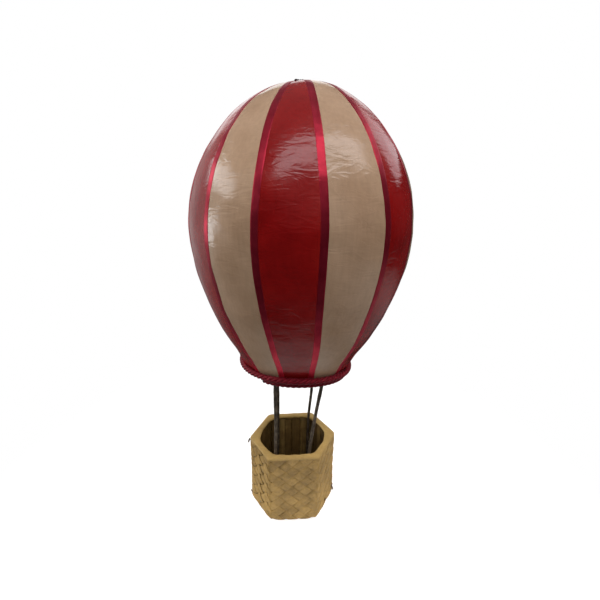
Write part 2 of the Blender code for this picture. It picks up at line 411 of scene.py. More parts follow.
# Ribbons: crimson satin ribbon 6 mm wide, glued down every seam from the crown to under the cord. Each lies
# a little onto the red gore, follows the lumps, and narrows to a cut end at the crown.
RIBBON_WIDTH = 0.006
RIBBON_THICK = 0.0006
RIBBON_END = 0.0025
ONTO_RED = 0.0014
RIBBON_WANDER = 0.0004
ribbon_rows = [row for row in meridian(46, 44) if row[0] > RIBBON_END]
start_piece()
bpy.ops.mesh.primitive_plane_add(
    size=RIBBON_WIDTH, location=(ribbon_rows[0][0] + RIBBON_WIDTH / 2, 0, ribbon_rows[0][1])
)
pattern = bpy.context.object
pattern.name = "ribbon_pattern"
place_in_mesh()
bpy.ops.object.mode_set(mode="EDIT")
bpy.ops.mesh.select_mode(type="EDGE")
bpy.ops.mesh.select_all(action="DESELECT")
bpy.ops.object.mode_set(mode="OBJECT")
outer_x = max(v.co.x for v in pattern.data.vertices)
for vert in pattern.data.vertices:
    vert.select = vert.co.x > outer_x - 1e-5
for side in pattern.data.edges:
    side.select = all(pattern.data.vertices[i].select for i in side.vertices)
bpy.ops.object.mode_set(mode="EDIT")
bpy.ops.mesh.select_all(action="INVERT")
bpy.ops.mesh.delete(type="EDGE")
bpy.ops.mesh.select_all(action="SELECT")
bpy.ops.transform.translate(value=(-RIBBON_WIDTH, 0, 0))
for (r0, z0), (r1, z1) in zip(ribbon_rows, ribbon_rows[1:]):
    bpy.ops.mesh.extrude_region_move(TRANSFORM_OT_translate={"value": (r1 - r0, 0, z1 - z0)})
    narrower = min(RIBBON_WIDTH / 2, 0.2 * r1) / min(RIBBON_WIDTH / 2, 0.2 * r0)
    bpy.ops.transform.resize(value=(1, narrower, 1), center_override=(r1, 0, z1))
bpy.ops.object.mode_set(mode="OBJECT")
modify(pattern, "finer", "SUBSURF", subdivision_type="SIMPLE", levels=2, render_levels=2)
apply_modifiers(pattern)
along = pattern.data.uv_layers.new(name="ribbon")
for loop in pattern.data.loops:
    spot = pattern.data.vertices[loop.vertex_index].co
    along.data[loop.index].uv = (spot.y / RIBBON_WIDTH + 0.5, spot.z)


def satin(name, colour, dark, metal, roughness, sheen, crown):
    """Satin: its threads lie one way, so the shine runs along them. A crown rounds it across."""
    made, tree, shader = new_finish(
        name, Metallic=metal, Sheen_Weight=sheen, Sheen_Roughness=0.4,
        Sheen_Tint=(1.0, 0.35, 0.45, 1.0), Anisotropic=0.5,
    )
    across = put(tree, "ShaderNodeUVMap").outputs[0]
    threads = cloudy(tree, stretched(tree, across, 34.0, 60.0, 1.0), 1.0, 3.0)
    place = on_piece(tree)
    puckers = cloudy(tree, place, 130.0, 3.0)
    mixed = reckon(tree, "MULTIPLY", reckon(tree, "ADD", threads, puckers), 0.5)
    tinted = ramp(tree, mixed, (0.32, dark), (0.62, colour))
    # Painted reflection: towards the mouth the satin is painted up to twice as light, for the bright floor
    # it mirrors there.
    painted_floor_light = scaled(tree, tinted, remap(tree, split(tree, place)["Z"], 0.26, 0.33, 2.0, 1.0))
    folds = bump(tree, puckers, 0.35, 0.0006, bump(tree, threads, 0.3, 0.00012))
    off_middle = reckon(tree, "SUBTRACT", split(tree, across)["X"], 0.5)
    fall = reckon(tree, "MULTIPLY", off_middle, off_middle)
    feed(
        tree, shader, Base_Color=painted_floor_light,
        Roughness=remap(tree, threads, 0.3, 0.7, roughness - 0.05, roughness + 0.08),
        Normal=bump(tree, fall, 1.0, crown, folds, invert=True),
    )
    return made


ribbon_satin = satin(
    "crimson_satin_ribbon", (0.50, 0.026, 0.054), (0.34, 0.011, 0.030),
    metal=0.80, roughness=0.37, sheen=0.03, crown=0.0022,
)
bpy.context.scene.collection.objects.link(skin_surface)
for k in range(GORES):
    ribbon = pattern.copy()
    ribbon.data = pattern.data.copy()
    ribbon.name = f"satin_ribbon_{k + 1:02d}"
    bpy.context.scene.collection.objects.link(ribbon)
    onto_red = 1 if k % 2 == 0 else -1
    for vert in ribbon.data.vertices:
        reach, z = vert.co.x, vert.co.z
        # Near the crown the ribbons run straight to the middle.
        fade = min(max((reach - 0.015) / 0.040, 0), 1)
        wander = RIBBON_WANDER * math.sin(z * 47 + 2.1 * k) * fade
        across = vert.co.y + ONTO_RED * onto_red * fade + wander
        turn = seam_angle(k) + twist(z)
        out = Vector((math.cos(turn), math.sin(turn), 0))
        side = Vector((-math.sin(turn), math.cos(turn), 0))
        z = lowered(z, turn)
        if z < EQUATOR_Z:
            reach = wall_radius(z)
        vert.co = leaned(Vector((AXIS_X, 0, z)) + out * reach + side * across)
    modify(
        ribbon, "lie on the paper", "SHRINKWRAP",
        target=skin_surface, wrap_method="NEAREST_SURFACEPOINT", wrap_mode="ABOVE_SURFACE", offset=0.00015,
    )
    modify(ribbon, "cloth", "SOLIDIFY", thickness=RIBBON_THICK, offset=1)
    modify(ribbon, "turned edge", "BEVEL", width=0.0002, segments=2, limit_method="ANGLE")
    apply_modifiers(ribbon)
    turn_outwards()
    smooth(50)
    ribbon.data.materials.append(ribbon_satin)
    settle(ribbon, "satin_ribbon", f"ribbon_{k + 1:02d}")
bpy.data.objects.remove(pattern, do_unlink=True)
bpy.data.objects.remove(skin_surface, do_unlink=True)

# Crown knot: dark thread tied where the ribbons meet. Its tail lies over the crown towards the front left,
# where its end shows as a dark dot on the outline.
KNOT_RADIUS = 0.0014
THREAD_RADIUS = 0.0011
TAIL_LEFT = -0.0078
TAIL_FRONT = -0.0290


def start_wire(name, radius, resolution, location=(0, 0, 0)):
    """A round wire with no lines yet, made from a curve primitive."""
    start_piece()
    bpy.ops.curve.primitive_bezier_circle_add(radius=0.01, location=location)
    wire = bpy.context.object
    wire.name = name
    wire.data.splines.clear()
    wire.data.dimensions = "3D"
    wire.data.bevel_depth = radius
    wire.data.bevel_resolution = resolution
    wire.data.use_fill_caps = True
    return wire


def add_line(wire, places, sizes=()):
    """Adds a line through these places. The sizes, where given, are shares of the wire's radius."""
    line = wire.data.splines.new("POLY")
    line.points.add(len(places) - 1)
    for point, place_at in zip(line.points, places):
        point.co = (*place_at, 1)
    for point, size in zip(line.points, sizes):
        point.radius = size


knot_low, knot_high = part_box("crown_knot")
knot_mid = (knot_low + knot_high) / 2
knot_foot = (knot_mid.x, knot_mid.y, knot_low.z + THREAD_RADIUS)
knot = start_wire("crown_thread_knot", THREAD_RADIUS, 3, knot_foot)
wound = []
for i in range(73):
    a = math.tau * i / 72
    reach = KNOT_RADIUS + 0.0004 * math.sin(5 * a)
    up = 0.0009 * math.sin(3 * a) + 0.00045 * a / math.pi
    wound.append((reach * math.cos(2 * a), reach * math.sin(2 * a), up))
add_line(knot, wound)
tail = []
for i in range(9):
    above = knot.location + Vector((TAIL_LEFT * i / 8, TAIL_FRONT * i / 8, 0.02))
    lying = envelope.ray_cast(above, Vector((0, 0, -1)))[1] - knot.location
    tail.append((lying.x, lying.y, lying.z + 0.0003))
add_line(knot, tail, 7 * [0.5] + 2 * [0.9])
bpy.ops.object.convert(target="MESH")
knot_satin = satin(
    "dark_knot_thread", (0.030, 0.004, 0.008), (0.012, 0.002, 0.004),
    metal=0.0, roughness=0.85, sheen=0.0, crown=0.0,
)
knot.data.materials.append(knot_satin)
bpy.ops.object.shade_smooth()
settle(knot, "crown_thread", "crown_knot")

# Mouth cord: a twisted satin cord of three strands, 6.6 mm thick, wound more than once round the mouth over
# the ribbon ends. Its lower end is cut and sealed at the front left, and its upper end lies at the back.
CORD_START = math.radians(-124.5)
CORD_TURNS = 1.62
CORD_THICK = 0.0066
CORD_LOW_Z = MOUTH_Z + 0.0050
CORD_RISE = 0.0057
CORD_TWIST = 0.0165
STRAND_RADIUS = 0.00180
STRAND_OFF_MIDDLE = 0.00148
out_by = CORD_THICK / 2 - 0.0002


def cord_spot(angle):
    """Middle of the cord, its outward direction and its forward direction after turning by angle."""
    turn = CORD_START + angle
    z = lowered(CORD_LOW_Z + CORD_RISE * angle / math.tau, turn)
    slope = Vector((1, -2 * NARROWING * (EQUATOR_Z - z) / WIDEST)).normalized()
    r = wall_radius(z) + out_by * slope.x
    spot = leaned(Vector((AXIS_X + r * math.cos(turn), r * math.sin(turn), z + out_by * slope.y)))
    out = Vector((math.cos(turn) * slope.x, math.sin(turn) * slope.x, slope.y))
    forward = Vector((-math.sin(turn), math.cos(turn), 0))
    return spot, out, forward


stations = 1000
cord_length = 0
strands = [[], [], []]
last = None
for i in range(stations + 1):
    spot, out, forward = cord_spot(CORD_TURNS * math.tau * i / stations)
    cord_length += (spot - last).length if last else 0
    last = spot
    side = forward.cross(out)
    slack = 1 + 0.05 * math.sin(cord_length * 90)
    for s, strand in enumerate(strands):
        wind = -math.tau * (cord_length / CORD_TWIST + s / 3)
        strand.append(spot + (out * math.cos(wind) + side * math.sin(wind)) * STRAND_OFF_MIDDLE * slack)
cord = start_wire("twisted_mouth_cord", STRAND_RADIUS, 3)
tapers = [min(1, 0.72 + 0.28 * min(i, stations - i) / 4) for i in range(stations + 1)]
for strand in strands:
    add_line(cord, strand, tapers)
bpy.ops.object.convert(target="MESH")
bpy.ops.object.shade_smooth()

cord_satin, tree, shader = new_finish(
    "crimson_satin_cord", Metallic=0.45,
    Sheen_Weight=0.12, Sheen_Roughness=0.4, Sheen_Tint=(1.0, 0.4, 0.5, 1.0),
)
wound_at = stretched(tree, put(tree, "ShaderNodeUVMap").outputs[0], 820.0, 5.0, 1.0)
yarns = put(
    tree, "ShaderNodeTexWave", {"Vector": wound_at, "Scale": 1.0, "Distortion": 1.2, "Detail": 2.0},
    wave_type="BANDS", bands_direction="DIAGONAL",
)
fuzz = cloudy(tree, on_piece(tree), 900.0, 3.0)
tone = reckon(tree, "MULTIPLY", yarns.outputs["Fac"], fuzz)
feed(
    tree, shader,
    Base_Color=ramp(tree, tone, (0.05, (0.07, 0.002, 0.006)), (0.45, (0.38, 0.010, 0.028))),
    Roughness=remap(tree, fuzz, 0.0, 1.0, 0.34, 0.56),
    Normal=bump(tree, tone, 0.5, 0.00025),
)
cord.data.materials.append(cord_satin)
settle(cord, "satin_cord", "mouth_cord")

# Cord ends: each cut end is sealed to a small dark bead, and a few loose threads stand out of it.
# The photograph shows the one at the front left, and the one at the back is made like it.
BEAD_RADIUS = 0.0029
FRAY_RADIUS = 0.00009
random.seed(41)
for name, angle, ahead in (("cord_end_front", 0.0, -1), ("cord_end_back", CORD_TURNS * math.tau, 1)):
    spot, _, forward = cord_spot(angle)
    start_piece()
    bpy.ops.mesh.primitive_uv_sphere_add(
        segments=20, ring_count=12, radius=BEAD_RADIUS, location=spot + forward * ahead * 0.0002
    )
    bead = bpy.context.object
    bead.name = name
    for vert in bead.data.vertices:
        rough_by = noise.noise(vert.co * 900) * 0.0004
        vert.co += vert.co.normalized() * rough_by
        vert.co -= forward * forward.dot(vert.co) * 0.55
    place_in_mesh()
    bpy.ops.object.shade_smooth()
    frayed = start_wire(f"{name}_threads", FRAY_RADIUS, 1)
    for _ in range(16):
        start = spot + Vector([random.uniform(-0.0014, 0.0014) for _ in range(3)])
        way = (forward * ahead + Vector([random.uniform(-0.6, 0.6) for _ in range(3)])).normalized()
        add_line(frayed, [start + way * 0.0012 * i + Vector((0, 0, -0.0002 * i * i)) for i in range(4)])
    bpy.ops.object.convert(target="MESH")
    joined([bead, frayed])
    bead.data.materials.clear()
    bead.data.materials.append(knot_satin)
    for face in bead.data.polygons:
        face.material_index = 0
    settle(bead, "satin_cord")

# Sticks: four thin dark canes, not quite straight, with faint joints along them. Each stands in the basket
# against its front or back wall and is glued inside the mouth of the envelope.
CANE_THICK = 0.0040
CANE_STEPS = 120
stick_paths = {
    "stick_front_left": [(-0.0248, -0.0281, 0.0033), (-0.0232, -0.0281, 0.104), (-0.0225, -0.0362, 0.165),
                         (-0.0224, -0.0438, 0.226), (-0.0224, -0.0465, 0.250)],
    "stick_front_right": [(0.0209, -0.0281, 0.0033), (0.0188, -0.0281, 0.104), (0.0239, -0.0356, 0.165),
                          (0.0304, -0.0432, 0.226), (0.0326, -0.0458, 0.250)],
    "stick_back_left": [(-0.0205, 0.0306, 0.0033), (-0.0182, 0.0306, 0.104), (-0.0178, 0.0370, 0.165),
                        (-0.0232, 0.0426, 0.226), (-0.0254, 0.0449, 0.250)],
    "stick_back_right": [(0.0245, 0.0306, 0.0033), (0.0251, 0.0306, 0.104), (0.0302, 0.0350, 0.165),
                         (0.0353, 0.0394, 0.226), (0.0371, 0.0410, 0.250)],
}
cane_finish, tree, shader = new_finish("dark_cane", Specular_IOR_Level=0.35)
place = on_piece(tree)
fibres = cloudy(tree, stretched(tree, place, 1.0, 1.0, 0.06), 1500.0, 5.0, Roughness=0.6)
bark = cloudy(tree, place, 160.0, 4.0)
cane_tones = (0.12, (0.020, 0.014, 0.010)), (0.26, (0.075, 0.056, 0.038)), (0.42, (0.180, 0.145, 0.100))
feed(
    tree, shader,
    Base_Color=ramp(tree, reckon(tree, "MULTIPLY", fibres, bark), *cane_tones),
    Roughness=remap(tree, bark, 0.0, 1.0, 0.45, 0.8),
    Normal=bump(tree, fibres, 0.6, 0.00025),
)
for order, (name, path) in enumerate(stick_paths.items()):
    path = [Vector(p) for p in path]
    lengths = [(b - a).length for a, b in zip(path, path[1:])]
    total = sum(lengths)
    spots = []
    for i in range(CANE_STEPS + 1):
        walk = total * i / CANE_STEPS
        k = 0
        while k < len(lengths) - 1 and walk > lengths[k]:
            walk -= lengths[k]
            k += 1
        spots.append(path[k].lerp(path[k + 1], walk / lengths[k]))
    joints_at = (23 + 5 * order, 62 + 3 * order, 97 - 4 * order)
    eased, sizes = [], []
    for i in range(CANE_STEPS + 1):
        spot = sum((spots[max(0, min(CANE_STEPS, i + d))] for d in range(-4, 5)), Vector()) / 9
        wave = Vector((noise.noise((i * 0.05, order, 0)), noise.noise((i * 0.05, order, 9)), 0)) * 0.0005
        eased.append(spot + wave * min(1, i / 8, (CANE_STEPS - i) / 8))
        joint = sum(math.exp(-(((i - j) / 1.6) ** 2)) for j in joints_at)
        sizes.append(0.97 + 0.10 * joint + 0.04 * noise.noise((i * 0.11, 3 * order, 5)))
    stick = start_wire(f"cane_{name}", CANE_THICK / 2, 4)
    add_line(stick, eased, sizes)
    bpy.ops.object.convert(target="MESH")
    smooth(50)
    stick.data.materials.append(cane_finish)
    settle(stick, "dark_cane", name)

# Basket wall: flat straw strips about 12 mm wide, woven on the slant over one and under one, so the edges
# stand in upright zigzags. Both sets run unbroken round the corners and open a little at the front left.
CORNERS = [
    (0.058, 0), (0.032, 0.042), (-0.032, 0.042),
    (-0.0575, -0.001), (-0.032, -0.040), (0.0295, -0.041),
]
STRIPS = 18
STRIP_THICK = 0.00045
STRIP_RISE = 0.00060
STRIP_DOME = 0.00030
WEAVE_FOOT = 0.0006
WEAVE_TOP = 0.1020
CROSSING_RISE = 0.0166
FIRST_CROSSING_UP = 0.0087
FIRST_CROSSING_ROUND = -0.05
OPEN_WEAVE_ROUND = 0.181
OPEN_WEAVE_REACH = 0.028
BELLY = 0.0016
BELLY_TALL = 0.050
FOOT_IN = 0.0012
FOOT_TALL = 0.0035


def inset_plan(inset):
    """The six corners with every side moved inwards by inset."""
    corners = [Vector(p) for p in CORNERS]
    lines = []
    for i, here in enumerate(corners):
        run = (corners[(i + 1) % 6] - here).normalized()
        inward = Vector((-run.y, run.x))
        lines.append((inward, inward.dot(here) + inset))
    moved = []
    for i in range(6):
        (n, p), (m, q) = lines[i - 1], lines[i]
        cross = n.x * m.y - n.y * m.x
        moved.append(Vector(((p * m.y - q * n.y) / cross, (q * n.x - p * m.x) / cross)))
    return moved


def rounded_plan(inset, corner_radius, steps=6):
    """Points round the plan with rounded corners, and the outward direction at each."""
    corners = inset_plan(inset)
    points = []
    for i, here in enumerate(corners):
        before, after = corners[i - 1], corners[(i + 1) % 6]
        into, out_of = (here - before).normalized(), (after - here).normalized()
        bend = into.angle(out_of)
        start = here - into * (corner_radius * math.tan(bend / 2))
        inward = Vector((-into.y, into.x))
        centre = start + inward * corner_radius
        first = math.atan2(-inward.y, -inward.x)
        for s in range(steps + 1):
            turn = first + bend * s / steps
            way = Vector((math.cos(turn), math.sin(turn)))
            points.append((centre + way * corner_radius, way))
    return points


wall_plan = rounded_plan(0.0013, 0.0016)
reach_at = [0.0]
for (a, _), (b, _) in zip(wall_plan, wall_plan[1:] + wall_plan[:1]):
    reach_at.append(reach_at[-1] + (b - a).length)
GIRTH = reach_at[-1]
CELL = GIRTH / STRIPS
CORNERS_ROUND = [reach_at[7 * i + 3] for i in range(6)]
ENDS_ROUND = [CORNERS_ROUND[0], CORNERS_ROUND[3]]


def wall_spot(reach):
    """Point and outward direction at a distance round the basket's wall."""
    reach %= GIRTH
    low = min(bisect_right(reach_at, reach), len(wall_plan)) - 1
    share = (reach - reach_at[low]) / max(reach_at[low + 1] - reach_at[low], 1e-9)
    (a, way_a), (b, way_b) = wall_plan[low], wall_plan[(low + 1) % len(wall_plan)]
    return a.lerp(b, share), way_a.lerp(way_b, share).normalized()


def nearest(reach, corners_round):
    """Distance round the wall to the nearest of these corners."""
    return min(abs((reach - c + GIRTH / 2) % GIRTH - GIRTH / 2) for c in corners_round)


def float_height(strand, crossing, over):
    """1 where a strip lies over the others and -1 where it lies under, easing across the change."""
    cell = math.floor(crossing + 0.5)

    def side(c):
        return 1.0 if ((strand + c) % 2 == 0) == over else -1.0

    into = crossing + 0.5 - cell
    here = side(cell)
    width = 0.24
    if into < width:
        before = side(cell - 1)
        t = 0.5 + 0.5 * into / width
        return before + (here - before) * t * t * (3 - 2 * t)
    if into > 1 - width:
        after = side(cell + 1)
        t = 0.5 * (into - 1 + width) / width
        return here + (after - here) * t * t * (3 - 2 * t)
    return here


random.seed(7)
straw_pieces = []
for family, lean in (("right", 1), ("left", -1)):
    strips = []
    for i in range(STRIPS):
        start_piece()
        bpy.ops.mesh.primitive_grid_add(x_subdivisions=104, y_subdivisions=12, size=1)
        strip = bpy.context.object
        wide = random.uniform(0.940, 0.975)
        swing = random.uniform(-0.010, 0.010)
        phase = random.uniform(0, math.tau)
        tone = random.uniform(0.42, 0.58)
        shade = strip.data.attributes.new("strip_tone_and_shade", "FLOAT", "POINT")
        for vert, entry in zip(strip.data.vertices, shade.data):
            up = (vert.co.x + 0.5) * (WEAVE_TOP - WEAVE_FOOT) + WEAVE_FOOT
            # Position in the weave: one count along each set of strips.
            climbed = 2 * (up - FIRST_CROSSING_UP) / CROSSING_RISE * lean
            middle = (i + climbed / 2 + FIRST_CROSSING_ROUND) * CELL % GIRTH
            # The open weave closes again towards the end corners and the foot.
            closed = min(1.0, nearest(middle, ENDS_ROUND) / 0.012, up / 0.016)
            open_here = max(0.0, 1 - abs(middle - OPEN_WEAVE_ROUND) / OPEN_WEAVE_REACH) * closed
            off = vert.co.y * (wide - 0.30 * open_here) + swing * math.sin(up * 40 + phase) + 0.022 * lean
            own = i + off
            other = own + climbed
            reach = ((own + other) / 2 + FIRST_CROSSING_ROUND) * CELL
            rise = float_height(i, other, lean > 0)
            dome = STRIP_DOME * (1 - (2 * vert.co.y) ** 2)
            # The lowest few millimetres turn in under the floor.
            foot = max(0.0, 1 - up / FOOT_TALL)
            spot, way = wall_spot(reach)
            # Near the foot the sides belly out, and all corners but the end ones are pulled in a little.
            pull = 1.1 * math.exp(-((nearest(reach, CORNERS_ROUND) / 0.008) ** 2))
            pull -= 1.2 * math.exp(-((nearest(reach, ENDS_ROUND) / 0.012) ** 2))
            belly = BELLY * max(0.0, 1 - up / BELLY_TALL) * (1 - pull)
            lift = STRIP_RISE * rise + dome + belly - FOOT_IN * foot * foot
            place_at = spot + way * lift
            vert.co = (place_at.x, place_at.y, up)
            # Painted shade: each strip is darker along its upper edge, more in some places than in others,
            # where the gap above it lies in shadow, and darker where it dives under the other set.
            upper = max(0.0, -lean * vert.co.y * 2 - 0.74) / 0.26
            patchy = max(0.0, 0.5 + 1.2 * noise.noise((reach * 60, up * 60, 2.0 * lean)))
            entry.value = tone - upper * patchy * (3.2 + 1.4 * lean) - max(0.0, 0.2 - rise) * 0.25
        strips.append(strip)
    straw = joined(strips)
    straw.name = f"straw_strips_leaning_{family}"
    modify(straw, "strip thickness", "SOLIDIFY", thickness=STRIP_THICK, offset=0)
    apply_modifiers(straw)
    turn_outwards()
    smooth(40)
    straw_pieces.append(straw)

# Straw: fine fibres, a warm honey colour that differs from strip to strip, and darker stains.
straw_grain, given, result = new_group(
    "straw grain",
    [
        ("Vector", "Vector", None), ("Tone", "Float", 0.5),
        ("Light", "Color", (0.56, 0.38, 0.17, 1)), ("Dark", "Color", (0.27, 0.15, 0.05, 1)),
    ],
    [("Color", "Color"), ("Height", "Float"), ("Rough", "Float")],
)
speck = cloudy(straw_grain, given.outputs["Vector"], 260.0, 5.0, Roughness=0.65)
stain = cloudy(straw_grain, given.outputs["Vector"], 46.0, 3.0)
mixed = reckon(straw_grain, "ADD", reckon(straw_grain, "ADD", speck, stain), given.outputs["Tone"])
share = remap(straw_grain, mixed, 0.70, 1.75, 0.0, 1.0)
two_tones = {0: share, 6: given.outputs["Dark"], 7: given.outputs["Light"]}
feed(
    straw_grain, result, Height=speck,
    Color=put(straw_grain, "ShaderNodeMix", two_tones, data_type="RGBA").outputs[2],
    Rough=remap(straw_grain, speck, 0.0, 1.0, 0.42, 0.68),
)


def straw_finish(name, light, dark, attribute=None):
    """Straw between two tones. The attribute, if there is one, gives each strip its own share of them."""
    made, tree, shader = new_finish(name, Specular_IOR_Level=0.40, Coat_Weight=0.10, Coat_Roughness=0.35)
    tone = put(tree, "ShaderNodeAttribute", attribute_name=attribute).outputs["Fac"] if attribute else 0.5
    straw = use_group(tree, straw_grain, Vector=on_piece(tree), Tone=tone, Light=light, Dark=dark)
    relief = bump(tree, straw["Height"], 0.35, 0.0003)
    feed(tree, shader, Base_Color=straw["Color"], Roughness=straw["Rough"], Normal=relief)
    return made


# Its dark tone is reached mostly in the painted shade along the wall strips' edges.
woven_straw = straw_finish("woven_straw", (0.49, 0.305, 0.088, 1), (0.045, 0.022, 0.005, 1), "strip_tone_and_shade")
for straw in straw_pieces:
    straw.data.materials.append(woven_straw)
settle(straw_pieces[0], "woven_straw", "basket_wall")
settle(straw_pieces[1], "woven_straw")

# Strip ends: here and there the tip of a strip wasn't tucked away, and has gone dark. There are seven,
# most of them on the corners, each a small sliver with worn edges.
TIP_WIDE = 0.0026
TIP_THICK = 0.0010
tips = []
for spot, way, long in (
    ((-0.0582, -0.0016, 0.0992), (-0.30, -0.10, -0.90), 0.0056),
    ((-0.0580, -0.0030, 0.0085), (-0.25, -0.15, 0.90), 0.0052),
    ((0.0584, -0.0020, 0.0050), (0.35, -0.10, -0.85), 0.0060),
    ((0.0566, -0.0045, 0.0120), (0.20, -0.10, 0.95), 0.0070),
    ((0.0441, -0.0232, 0.0100), (0.20, -0.30, 0.90), 0.0050),
    ((0.0312, 0.0408, 0.0600), (0.10, 0.20, -0.90), 0.0050),
    ((-0.0314, 0.0408, 0.0320), (-0.10, 0.20, 0.90), 0.0044),
):
    start_piece()
    bpy.ops.mesh.primitive_cube_add(size=1)
    tip = bpy.context.object
    tip.scale = (TIP_WIDE, TIP_THICK, long)
    tip.rotation_euler = Vector(way).normalized().to_track_quat("Z", "Y").to_euler()
    tip.location = Vector(spot)
    place_in_mesh()
    modify(tip, "worn edge", "BEVEL", width=0.00018, segments=2)
    apply_modifiers(tip)
    tips.append(tip)
strip_ends = joined(tips)
strip_ends.name = "loose_strip_ends"
smooth(40)
dark_straw = straw_finish("darkened_straw", (0.11, 0.06, 0.025, 1), (0.03, 0.015, 0.006, 1))
strip_ends.data.materials.append(dark_straw)
settle(strip_ends, "woven_straw")

# Basket floor: the same straw woven flat, cut to the basket's plan and held inside the foot of the wall.
# Its edges are straight, and lie 3 mm inside the plan of the wall.
FLOOR_CELL = 0.0170
FLOOR_UP = 0.0014
FLOOR_RISE = 0.00050
FLOOR_INSET = 0.0030


def set_tone(piece, value):
    """Gives a whole strip or slat its own tone, which its material reads."""
    for entry in piece.data.attributes.new("strip_tone_and_shade", "FLOAT", "POINT").data:
        entry.value = value


floor_strips = []
for lean in (1, -1):
    for i in range(-5, 6):
        start_piece()
        bpy.ops.mesh.primitive_grid_add(x_subdivisions=96, y_subdivisions=6, size=1)
        strip = bpy.context.object
        wide = random.uniform(0.92, 0.98)
        for vert in strip.data.vertices:
            own, other = i + vert.co.y * wide, vert.co.x * 10.8
            u, v = (own, other) if lean > 0 else (other, own)
            rise = float_height(i, other, lean > 0)
            up = FLOOR_UP + FLOOR_RISE * rise + 0.0001 * (1 - 4 * vert.co.y ** 2)
            vert.co = ((u + v) * FLOOR_CELL / 2, (v - u) * FLOOR_CELL / 2, up)
        set_tone(strip, random.uniform(0.2, 0.5))
        floor_strips.append(strip)
woven_floor = joined(floor_strips)
woven_floor.name = "woven_floor"
floor_plan = inset_plan(FLOOR_INSET)
bpy.ops.object.mode_set(mode="EDIT")
for a, b in zip(floor_plan, floor_plan[1:] + floor_plan[:1]):
    run = (b - a).normalized()
    bpy.ops.mesh.select_all(action="SELECT")
    bpy.ops.mesh.bisect(plane_co=(a.x, a.y, 0), plane_no=(run.y, -run.x, 0), clear_outer=True)
bpy.ops.object.mode_set(mode="OBJECT")
modify(woven_floor, "strip thickness", "SOLIDIFY", thickness=STRIP_THICK, offset=0)
apply_modifiers(woven_floor)
turn_outwards()
smooth(40)
woven_floor.data.materials.append(woven_straw)
settle(woven_floor, "woven_straw", "basket_floor")

# Lining: thin dark slats stand side by side against the inside of the weave and stiffen it. They are split
# by hand, so their widths and tops differ a little.
SLATS_A_SIDE = 5
SLAT_THICK = 0.0018
SLAT_GAP = 0.0004
SLAT_FOOT = 0.0036
slat_wood, tree, shader = new_finish("aged_slat_wood", Specular_IOR_Level=0.3)
place = on_piece(tree)
tone = put(tree, "ShaderNodeAttribute", attribute_name="strip_tone_and_shade").outputs["Fac"]
grain = cloudy(tree, stretched(tree, place, 1.0, 1.0, 0.05), 900.0, 6.0, Roughness=0.6)
patch = cloudy(tree, place, 70.0, 3.0)
mixed = reckon(tree, "ADD", reckon(tree, "MULTIPLY", grain, patch), tone)
slat_tones = (0.15, (0.060, 0.032, 0.010)), (0.50, (0.150, 0.088, 0.026)), (0.85, (0.360, 0.235, 0.080))
feed(
    tree, shader,
    Base_Color=ramp(tree, mixed, *slat_tones),
    Roughness=remap(tree, grain, 0.0, 1.0, 0.55, 0.85),
    Normal=bump(tree, grain, 0.6, 0.0003),
)
outer_plan, inner_plan = inset_plan(0.0035), inset_plan(0.0063)
for side in range(6):
    a, b = outer_plan[side], outer_plan[(side + 1) % 6]
    run = (b - a).normalized()
    inward = Vector((-run.y, run.x))
    length = (inner_plan[(side + 1) % 6] - inner_plan[side]).length - 0.0006
    shares = [random.uniform(0.8, 1.25) for _ in range(SLATS_A_SIDE)]
    begin = (a + b) / 2 - run * length / 2
    slats = []
    for share_of in shares:
        wide = length * share_of / sum(shares)
        tall = random.uniform(0.0925, 0.0955)
        start_piece()
        bpy.ops.mesh.primitive_cube_add(size=1)
        slat = bpy.context.object
        centre = begin + run * wide / 2 + inward * random.uniform(0.0010, 0.0015)
        slat.scale = (wide - SLAT_GAP, SLAT_THICK, tall)
        slat.rotation_euler = (0, random.uniform(-0.006, 0.006), math.atan2(run.y, run.x))
        slat.location = (centre.x, centre.y, SLAT_FOOT + tall / 2)
        place_in_mesh()
        modify(slat, "split edge", "BEVEL", width=0.0006, segments=3)
        apply_modifiers(slat)
        set_tone(slat, random.uniform(-0.05, 0.45))
        slats.append(slat)
        begin += run * wide
    lining = joined(slats)
    lining.name = f"lining_slats_{side + 1}"
    smooth(40)
    lining.data.materials.append(slat_wood)
    settle(lining, "aged_slats", f"lining_{side + 1}")

# Rim: a smooth, paler band rolled over the top of the wall and the slats. Its inner edge wavers and cuts
# across the sharp end corners, so the opening is rounder than the basket.
RIM_LOW, RIM_HIGH = 0.1008, 0.1048
RING_RADIUS, TUBE_RADIUS = 0.05, 0.0045
END_CUT = 0.0042
END_SPREAD = 0.0065


def ray_to(points, angle):
    """Where a ray from the middle at this angle meets a closed outline."""
    way = Vector((math.cos(angle), math.sin(angle)))
    for a, b in zip(points, points[1:] + points[:1]):
        edge_way = b - a
        cross = way.x * edge_way.y - way.y * edge_way.x
        if abs(cross) < 1e-12:
            continue
        t = (a.x * edge_way.y - a.y * edge_way.x) / cross
        s = (a.x * way.y - a.y * way.x) / cross
        if t > 0 and -1e-9 <= s <= 1 + 1e-9:
            return way * t
    return way * RING_RADIUS


def ring_noise(angle, size, layer):
    """Random values that come back to where they began once round the rim."""
    return noise.noise((size * math.cos(angle), size * math.sin(angle), layer))


